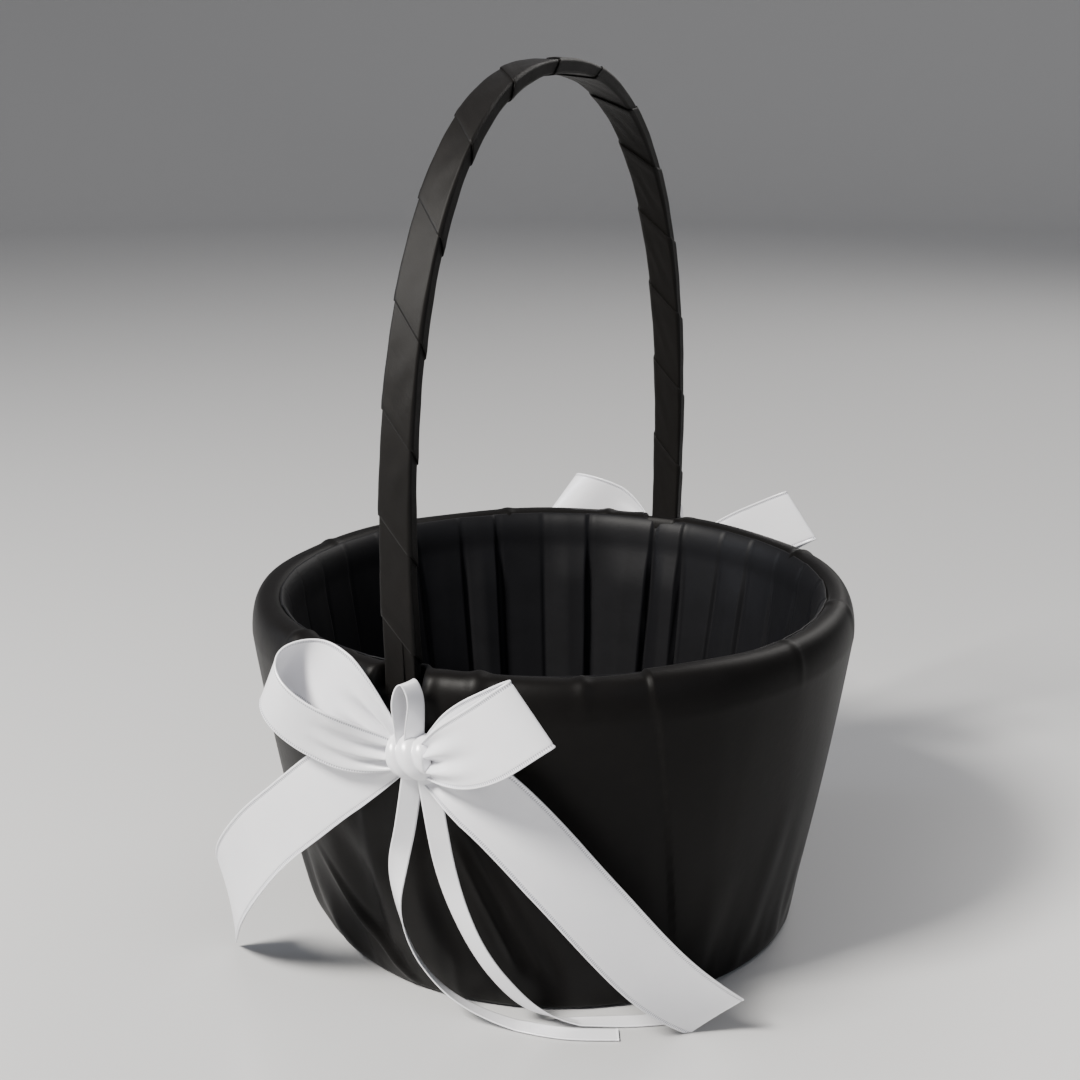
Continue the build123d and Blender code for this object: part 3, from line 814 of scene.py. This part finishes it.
def make_wadding():
    """The wadding between the splint and the satin, as one lumpy padded sleeve."""
    columns, rows = 180, 40
    turn = np.linspace(0, 2 * math.pi, rows, endpoint=False)
    low, high = WADDING_HEIGHTS
    middle = (low + high) / 2
    z = middle + (high - low) / 2 * np.sin(turn)
    out = np.sign(np.cos(turn)) * np.abs(np.cos(turn)) ** WADDING_POWER
    theta = np.arange(columns) * 360 / columns
    grid_theta, grid_z = np.meshgrid(theta, z, indexing="ij")
    lumps = WADDING_LUMP * np.sin(np.radians(grid_theta) * PANELS) * np.sin(grid_z / 9)
    outer, inner = wall(grid_z, PADDING_OUTER) + lumps, wall(grid_z, PADDING_INNER)
    r = (outer + inner) / 2 + (outer - inner) / 2 * out
    points = polar(grid_theta, r, grid_z)
    turns, shares = np.arange(columns + 1) / columns, np.arange(rows + 1) / rows
    uv = lengths_uv(turns * WADDING_ROUND, shares * WADDING_GIRTH)
    piece = grid_piece("wadding", points, uv, soft_wadding, wrap_u=True, wrap_v=True)
    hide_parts("wall_padding")


make_cover()
make_lining()
make_floor()
make_wadding()


# ---- Handle wrap ------------------------------------------------------------------------------
def handle_line(count):
    """The handle's centre line from the front leg's foot over the top to the back leg's foot."""
    turns = np.radians(np.linspace(0, 90, 60))
    y = HANDLE_HALF_SPAN * np.cos(turns) ** (2 / HANDLE_POWER)
    z = HANDLE_SPRING + (HANDLE_TOP - HANDLE_SPRING) * np.sin(turns) ** (2 / HANDLE_POWER)
    low_z = np.linspace(LEG_BOTTOM, STAVE_TOP, 8)[:-1]
    low_y = wall(low_z, LEG_DEPTH)
    # A cubic that leaves the wall with the leg's small lean and meets the arch upright.
    t = np.linspace(0, 1, 30)[:-1]
    rise = HANDLE_SPRING - STAVE_TOP
    start_y, lean = wall(STAVE_TOP, LEG_DEPTH), LEG_LEAN * rise
    ease = t * t * (3 - 2 * t)
    leg_y = start_y + (HANDLE_HALF_SPAN - start_y) * ease + lean * t * (1 - t) ** 2
    leg_z = STAVE_TOP + rise * t
    half_y, half_z = np.concatenate([low_y, leg_y, y]), np.concatenate([low_z, leg_z, z])
    whole = np.stack([np.append(-half_y, half_y[-2::-1]), np.append(half_z, half_z[-2::-1])], 1)
    steps = np.concatenate([[0], np.cumsum(np.hypot(*np.diff(whole, axis=0).T))])
    at = np.linspace(0, steps[-1], count)
    line = np.stack([np.interp(at, steps, whole[:, k]) for k in (0, 1)], axis=1)
    return line, steps[-1]


def strip_section(share, lift):
    """Sideways and outward place on the strip's rounded section, at a share of the way round."""
    corner_x, corner_n = STRIP_HALF_WIDTH - STRIP_CORNER, STRIP_HALF_THICKNESS - STRIP_CORNER
    angles = np.linspace(0, 2 * math.pi, 129)[:-1] + math.pi / 128
    centre_x, centre_n = corner_x * np.sign(np.cos(angles)), corner_n * np.sign(np.sin(angles))
    x, n = centre_x + STRIP_CORNER * np.cos(angles), centre_n + STRIP_CORNER * np.sin(angles)
    x, n = np.append(x, x[0]), np.append(n, n[0])
    angles = np.append(angles, angles[0] + 2 * math.pi)
    around = np.concatenate([[0], np.cumsum(np.hypot(np.diff(x), np.diff(n)))])
    at = (share % 1) * around[-1]
    x, n, angle = (np.interp(at, around, values) for values in (x, n, angles))
    return x + lift * np.cos(angle), n + lift * np.sin(angle)


def on_handle(line, tangent, s, length, x, n):
    """Points beside the handle's line, at a length along it and a place on its section."""
    index = s / length * (len(line) - 1)
    y0, z0, ty, tz = (
        np.interp(index, np.arange(len(line)), values)
        for values in (line[:, 0], line[:, 1], tangent[:, 0], tangent[:, 1])
    )
    return np.stack([x, y0 - n * tz, z0 + n * ty], axis=2)


def make_wrap():
    """A lengthwise under-layer, and one long ribbon wound round it in overlapping turns."""
    line, length = handle_line(1600)
    tangent = unit(np.gradient(line, axis=0))
    along, shares = np.linspace(0, length, UNDER_ROWS), np.arange(UNDER_COLUMNS + 1) / UNDER_COLUMNS
    s, share = np.meshgrid(along, shares[:-1], indexing="ij")
    points = on_handle(line, tangent, s, length, *strip_section(share, 0.0))
    uv = lengths_uv(along, shares * WRAP_ROUND)
    under = grid_piece(
        "handle_under_layer", points, uv, black_wrap, wrap_v=True, caps=True
    )
    around, across = 72, 26
    turns = int(round((length - WRAP_OVERLAP) / WRAP_PITCH - 1))
    pitch = (length - WRAP_OVERLAP) / (turns + 1)
    width = pitch + WRAP_OVERLAP
    wind = np.arange(turns * around + 1) / around
    over = np.linspace(0, 1, across) ** 1.15
    grid_wind, grid_over = np.meshgrid(wind, over, indexing="ij")
    lift = WRAP_STEP * (1 - smoothstep(grid_over, 0.0, 0.9)) + WRAP_CLEAR
    # The lap's turned edge stands up unevenly, and faint lines of pull cross the ribbon.
    lift += WRAP_RIDGE * bell(grid_over - 0.06, 0.05) * (0.6 + 0.4 * np.sin(12.6 * grid_wind))
    pull = np.sin(grid_over * 14 + 5 * np.sin(6.28 * grid_wind)) * bell(grid_over - 0.5, 0.25)
    lift += WRAP_PULL * pull
    x, n = strip_section(grid_wind + WRAP_PHASE, lift)
    s = grid_wind * pitch + grid_over * width
    points = on_handle(line, tangent, s, length, x, n)
    uv = np.stack([grid_wind * WRAP_ROUND, grid_over * width], axis=2) * MM
    piece = grid_piece("handle_ribbon_wrap", points, uv, black_wrap)
    thicken(piece, WRAP_CLOTH, offset=1.0)
    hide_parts("handle_wrap")


make_wrap()


# ---- Ribbons ----------------------------------------------------------------------------------
def ribbon_columns(width, wide):
    """Places across a ribbon, in millimetres; a wide one has more of them at its edges."""
    half = width / 2
    if not wide:
        return np.linspace(-half, half, 13)
    edge = half - np.array([0.0, 0.18, 0.42, 0.66, 0.82, 1.0, 1.35, 1.6])
    return np.concatenate([-edge, np.linspace(-half + 2.2, half - 2.2, 29), edge[::-1]])


def edge_thickness(places, width, wide):
    """How thick the cloth is across a ribbon: a corded edge, and thin at the ladder stitch."""
    inward = width / 2 - np.abs(places)
    if not wide:
        return 1 + 0.3 * bell(inward, 0.3)
    return 1 + 0.7 * bell(inward - 0.3, 0.35) - 0.6 * bell(inward - 1.05, 0.3)


def ribbon(name, data, width, material, slot, crease=0.0, creases=2.0, ripple=0.0):
    """A ribbon through close rows of (x, y, z, across x, y, z, width share). Where the share is
    under 1 the cloth is gathered, and its spare width stands up in creases."""
    wide = width > NARROW
    count = len(data)
    centre, across, share = data[:, :3], unit(data[:, 3:6]), np.clip(data[:, 6], 0.2, 1.0)
    tangent = unit(np.gradient(centre, axis=0))
    if not wide:
        across = unit(across - tangent * (across * tangent).sum(1, keepdims=True))
    normal = unit(np.cross(tangent, across))
    places = ribbon_columns(width, wide)
    along = np.concatenate([[0], np.cumsum(np.linalg.norm(np.diff(centre, axis=0), axis=1))])
    v = places / (width / 2)
    gather = (1 - share)[:, None]
    folds = np.cos(creases * math.pi * v + 0.7) * (0.6 + 0.4 * np.cos(2.3 * v))
    waves = np.sin(along / RIPPLE_LENGTH + 0.6)[:, None] * v**2
    lift = crease * gather * folds + ripple * waves
    cloth = (RIBBON_CLOTH if wide else NARROW_CLOTH) * edge_thickness(places, width, wide)
    middle = centre[:, None] + across[:, None] * (places * share[:, None])[..., None]
    middle = middle + normal[:, None] * lift[..., None]
    middle[..., 2] = np.maximum(middle[..., 2], FLOOR_CLEAR)
    face = normal[:, None] * (cloth / 2)[:, None]
    points = np.concatenate([middle + face, (middle - face)[:, ::-1]], axis=1)
    u = np.broadcast_to(along[:, None], (count, 2 * len(places) + 1))
    w = np.concatenate([places, places[::-1], places[:1]])
    uv = np.stack([u, np.broadcast_to(w, u.shape)], axis=2) * MM
    piece = grid_piece(name, points, uv, material, wrap_v=True, caps=True)
    return piece, along[-1]


def placed(rows, knot, flip_y=1, stretch=(1, 1, 1)):
    """Rows given from a knot's centre, moved to that knot, and turned to the back if asked."""
    signs = np.array([1, flip_y, 1])
    made = []
    for row in rows:
        centre = np.array(row[:3]) * signs * stretch + knot
        made.append([*centre, *(np.array(row[3:6]) * signs), row[6]])
    return made


def make_knot(name, knot, facing):
    """The knot: a band of ribbon pulled tight round the bow's waist, in slanting pleats."""
    around, along = 96, 60
    t, phi = np.linspace(-1, 1, along), np.arange(around) * 2 * math.pi / around
    grid_t, grid_phi = np.meshgrid(t, phi, indexing="ij")
    slant = 2.6 * grid_t + 0.42 * np.sin(grid_phi - 0.3) + 0.75 * np.cos(grid_phi)
    pleats = KNOT_PLEAT * (np.abs(np.sin(slant * math.pi / 2 + 0.6)) ** 0.6 - 0.5)
    closing = 1 - 0.5 * smoothstep(np.abs(grid_t), 0.86, 1.0)
    taper = 1 - 0.22 * np.abs(grid_t) ** 2.5
    height, depth = ((half * taper + pleats) * closing for half in (KNOT_HEIGHT, KNOT_DEPTH))
    x = KNOT_WIDTH * grid_t
    z = height * np.cos(grid_phi)
    points = np.stack([x - 0.14 * z, -facing * depth * np.sin(grid_phi), z + 0.10 * x], axis=2)
    points = (points + knot)[::-facing]
    uv = lengths_uv(t * KNOT_WIDTH, np.arange(around + 1) * KNOT_ROUND / around)[..., ::-1]
    piece = grid_piece(
        name + "_ribbon", points, uv, narrow_white,
        wrap_v=True, caps=True,
    )
    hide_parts(name)


# A loop that stands open, from behind the knot round its nose and back to the front of the knot.
OPEN_LOOP = (
    (-4.5, 0.5, 2.5, 0.20, 0, 0.98, 0.42),
    (-12.4, -1.6, 10.8, 0.32, 0.05, 0.93, 0.72),
    (-23.4, -2.4, 18.0, 0.40, 0.14, 0.90, 1.0),
    (-36.0, -0.4, 21.6, 0.47, 0.00, 0.87, 1.0),
    (-44.6, -4.4, 20.2, 0.52, -0.25, 0.81, 1.0),
    (-42.4, -9.6, 15.4, 0.52, -0.32, 0.79, 1.0),
    (-33.0, -11.6, 9.4, 0.50, -0.32, 0.80, 1.0),
    (-24.0, -10.6, 5.6, 0.46, -0.27, 0.84, 0.95),
    (-15.0, -7.2, 2.2, 0.34, -0.12, 0.92, 0.76),
    (-4.8, -2.2, 0.2, 0.10, 0, 0.99, 0.44),
)
# A loop pressed nearly flat.
FLAT_LOOP = (
    (4.5, 0.5, 2.0, -0.15, 0, 0.99, 0.42),
    (15.5, -1.6, 7.4, -0.45, -0.02, 0.88, 0.82),
    (28.0, -3.4, 14.6, -0.60, -0.04, 0.79, 1.0),
    (39.0, -4.2, 21.2, -0.61, -0.04, 0.79, 1.0),
    (42.6, -5.8, 23.0, -0.61, -0.04, 0.79, 1.0),
    (40.0, -8.0, 21.0, -0.61, -0.04, 0.79, 1.0),
    (29.5, -9.2, 12.8, -0.58, -0.04, 0.81, 1.0),
    (16.0, -6.6, 4.8, -0.40, -0.02, 0.91, 0.84),
    (4.8, -2.2, 0.2, -0.1, 0, 0.99, 0.44),
)
THIN_LOOP = (
    (-1.2, -1.0, 4.5, 0.50, 0.86, 0, 1.0),
    (-2.2, -1.6, 13.0, 0.30, 0.95, 0, 1.0),
    (-2.1, -2.0, 19.6, 0.20, 0.98, 0, 1.0),
    (0.4, -2.0, 23.6, 0.20, 0.98, 0, 1.0),
    (2.8, -2.0, 20.0, 0.22, 0.97, 0, 1.0),
    (2.7, -1.8, 13.0, 0.42, 0.90, 0, 1.0),
    (1.6, -1.2, 4.5, 0.60, 0.80, 0, 1.0),
)
KNOT_WIDTH = 7.1
KNOT_HEIGHT = 6.5
KNOT_DEPTH = 6.2
KNOT_PLEAT = 1.3
KNOT_ROUND = 43.2
KNOT_SHIFT = np.array([1.0, 0.0, 0.6])
FRONT_KNOT = np.array([8.5, -107.0, 93.0])
BACK_KNOT = np.array([-1.5, 107.0, 94.0])

# Wide tails, in the row frame, from under the knot to the cut end.
FRONT_LEFT_TAIL = (
    (3.5, -106.0, 91.0, -0.30, 0, 0.95, 0.45),
    (-9.5, -108.7, 86.5, -0.58, -0.04, 0.81, 0.92),
    (-30.0, -110.5, 69.8, -0.64, -0.06, 0.76, 1.0),
    (-43.0, -111.0, 57.8, -0.64, -0.06, 0.76, 1.0),
    (-55.5, -108.8, 43.0, -0.60, -0.02, 0.80, 1.0),
    (-66.0, -101.0, 27.5, -0.38, 0.10, 0.92, 1.0),
    (-73.0, -89.5, 12.4, 0.22, -0.12, 0.97, 1.0),
)
FRONT_RIGHT_TAIL = (
    (13.0, -105.8, 90.0, 0.20, 0.10, 0.97, 0.45),
    (28.0, -104.5, 85.0, 0.60, 0.33, 0.73, 0.95),
    (49.0, -96.0, 61.5, 0.56, 0.50, 0.65, 1.0),
    (62.0, -88.0, 42.5, 0.57, 0.50, 0.65, 1.0),
    (74.0, -78.5, 24.0, 0.62, 0.42, 0.66, 1.0),
    (82.5, -70.5, 13.0, 0.68, 0.30, 0.66, 1.0),
    (88.5, -64.5, 6.6, 0.73, 0.20, 0.64, 1.0),
)
BACK_LEFT_TAIL = (
    (-1.0, 106.5, 92.0, -0.3, 0, 0.95, 0.45),
    (-9.0, 108.5, 84.0, 0.80, 0.10, -0.58, 0.95),
    (-24.0, 108.0, 60.0, 0.86, 0.20, -0.45, 1.0),
    (-38.0, 104.0, 34.0, 0.86, 0.25, -0.42, 1.0),
    (-48.0, 99.0, 12.0, 0.88, 0.30, -0.36, 1.0),
)
BACK_RIGHT_TAIL = (
    (9.0, 106.5, 92.0, 0.3, 0, 0.95, 0.45),
    (13.0, 109.0, 84.0, 0.95, -0.08, 0.28, 0.95),
    (20.0, 109.5, 60.0, 0.96, -0.12, 0.24, 1.0),
    (27.0, 108.5, 34.0, 0.96, -0.16, 0.22, 1.0),
    (32.0, 106.0, 8.0, 0.95, -0.20, 0.18, 1.0),
)

# Narrow tails: the route of each, and the direction across the ribbon at its start, middle, end.
NARROW_TAILS = {
    "front_bow_thin_left_tail": (
        (
            (9.0, -107.2, 89), (5.5, -106, 71), (0.8, -103.8, 57), (-2.6, -100.8, 43),
            (-1.2, -98.8, 30), (3.6, -96.8, 18), (13, -93.5, 8.5), (28, -88.5, 2.2),
            (45, -86.5, 1.4), (55, -82.5, 1.2), (62.5, -78.5, 1.2),
        ),
        ((0.84, 0.54, 0), (0.55, -0.80, 0.2), (0.40, -0.92, 0)),
    ),
    "front_bow_thin_right_tail": (
        (
            (13.6, -106.8, 89), (15.2, -105, 71), (16.2, -102.5, 57), (18.6, -99.5, 43),
            (23, -96.2, 29), (29.5, -92, 16.5), (37.5, -85.5, 6.5), (48, -77.5, 1.6),
            (61, -71, 1.2), (71, -64.5, 1.2), (77, -59, 1.2),
        ),
        ((0.89, 0.45, 0), (0.85, -0.2, 0.48), (0.67, -0.74, 0)),
    ),
    "back_bow_thin_left_tail": (
        (
            (-4.5, 107.2, 89), (-8, 106.5, 71), (-9, 105, 57), (-12, 103.5, 43), (-17, 102, 29),
            (-26, 99, 16), (-38, 94, 7), (-51, 88, 2.4), (-63, 80, 2.1),
        ),
        ((1, 0, 0), (0.7, 0.6, -0.3), (0.5, 0.86, 0)),
    ),
    "back_bow_thin_right_tail": (
        (
            (1.5, 107.2, 89), (4, 106.5, 71), (3.5, 105, 57), (6, 103.5, 43), (5, 102, 29),
            (9, 100.5, 16), (14, 98.5, 7.5), (24, 97, 2.5), (36, 93, 2.0),
        ),
        ((1, 0, 0), (0.8, 0.5, 0.2), (0.3, 0.95, 0)),
    ),
}
# How far a narrow tail is let down near the floor, from what heights, and where it comes to rest.
REST_SINK = 1.6
REST_FROM = (2, 20)
REST_HEIGHT = 0.55


def route_line(route):
    """Points along the smooth line of a route, in millimetres."""
    curve = bpy.data.curves.new("route", "CURVE")
    curve.dimensions = "3D"
    spline = curve.splines.new("NURBS")
    spline.points.add(len(route) - 1)
    for point, place in zip(spline.points, route, strict=True):
        point.co = (*place, 1)
    spline.order_u = 3
    spline.use_endpoint_u = True
    spline.resolution_u = 16
    holder = bpy.data.objects.new("route", curve)
    mesh = bpy.data.meshes.new_from_object(holder)
    line = np.array([v.co for v in mesh.vertices])
    bpy.data.meshes.remove(mesh)
    bpy.data.curves.remove(curve)
    return line


def make_narrow_tail(name):
    """A narrow flat ribbon that hangs from its knot, turns over and lies on the floor."""
    route, directions = NARROW_TAILS[name]
    line = route_line(route)
    sink = REST_SINK * (1 - smoothstep(line[:, 2], *REST_FROM))
    line[:, 2] = np.maximum(line[:, 2] - sink, REST_HEIGHT)
    share = np.linspace(0, 1, len(line))
    start, middle, end = (unit(np.array(d, float)) for d in directions)
    to_middle = smoothstep(share, 0.0, 0.42)[:, None]
    to_end = smoothstep(share, 0.5, 0.85)[:, None]
    across = (start * (1 - to_middle) + middle * to_middle) * (1 - to_end) + end * to_end
    data = np.concatenate([line, across, np.ones((len(line), 1))], axis=1)
    piece, length = ribbon(name + "_ribbon", data, NARROW, narrow_white, "narrow_white_ribbon")
    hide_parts(name)


def cloth_ribbon(node_name, rows, width, material, slot, held, rests_on, count=300, **looks):
    """A ribbon that stands for a CAD node, and hides that node."""
    data = smooth_rows(rows, count)
    piece, length = ribbon(node_name + "_ribbon", data, width, material, slot, **looks)
    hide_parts(node_name)


def make_bow(side, knot, facing, left_rows, right_rows, tails):
    """One bow: two wide loops, a thin loop, the knot, two wide tails and two narrow ones."""
    white = (WIDE, wide_white, "wide_white_ribbon")
    knot_name = f"{side}_bow_knot"
    for label, rows in (("left_loop", left_rows), ("right_loop", right_rows)):
        cloth_ribbon(
            f"{side}_bow_{label}", rows, *white, "folded", knot_name,
            crease=4.0, creases=2.6,
        )
    thin = placed(THIN_LOOP, knot, flip_y=facing)
    cloth_ribbon(
        f"{side}_bow_thin_loop", thin, NARROW, narrow_white, "narrow_white_ribbon",
        "folded", knot_name, count=120,
    )
    for label, rows in tails.items():
        cloth_ribbon(
            f"{side}_bow_{label}", rows, *white, "hung", knot_name,
            crease=2.4, creases=2.2, ripple=0.35,
        )
    make_knot(f"{side}_bow_knot", knot + KNOT_SHIFT, facing)
    for label in ("thin_left_tail", "thin_right_tail"):
        make_narrow_tail(f"{side}_bow_{label}")


make_bow(
    "front", FRONT_KNOT, 1,
    placed(OPEN_LOOP, FRONT_KNOT), placed(FLAT_LOOP, FRONT_KNOT),
    {"left_tail": FRONT_LEFT_TAIL, "right_tail": FRONT_RIGHT_TAIL},
)
make_bow(
    "back", BACK_KNOT, -1,
    placed(OPEN_LOOP, BACK_KNOT, flip_y=-1, stretch=(1.16, 1, 1.0)),
    placed(FLAT_LOOP, BACK_KNOT, flip_y=-1, stretch=(1.2, 1, 1.04)),
    {"left_tail": BACK_LEFT_TAIL, "right_tail": BACK_RIGHT_TAIL},
)
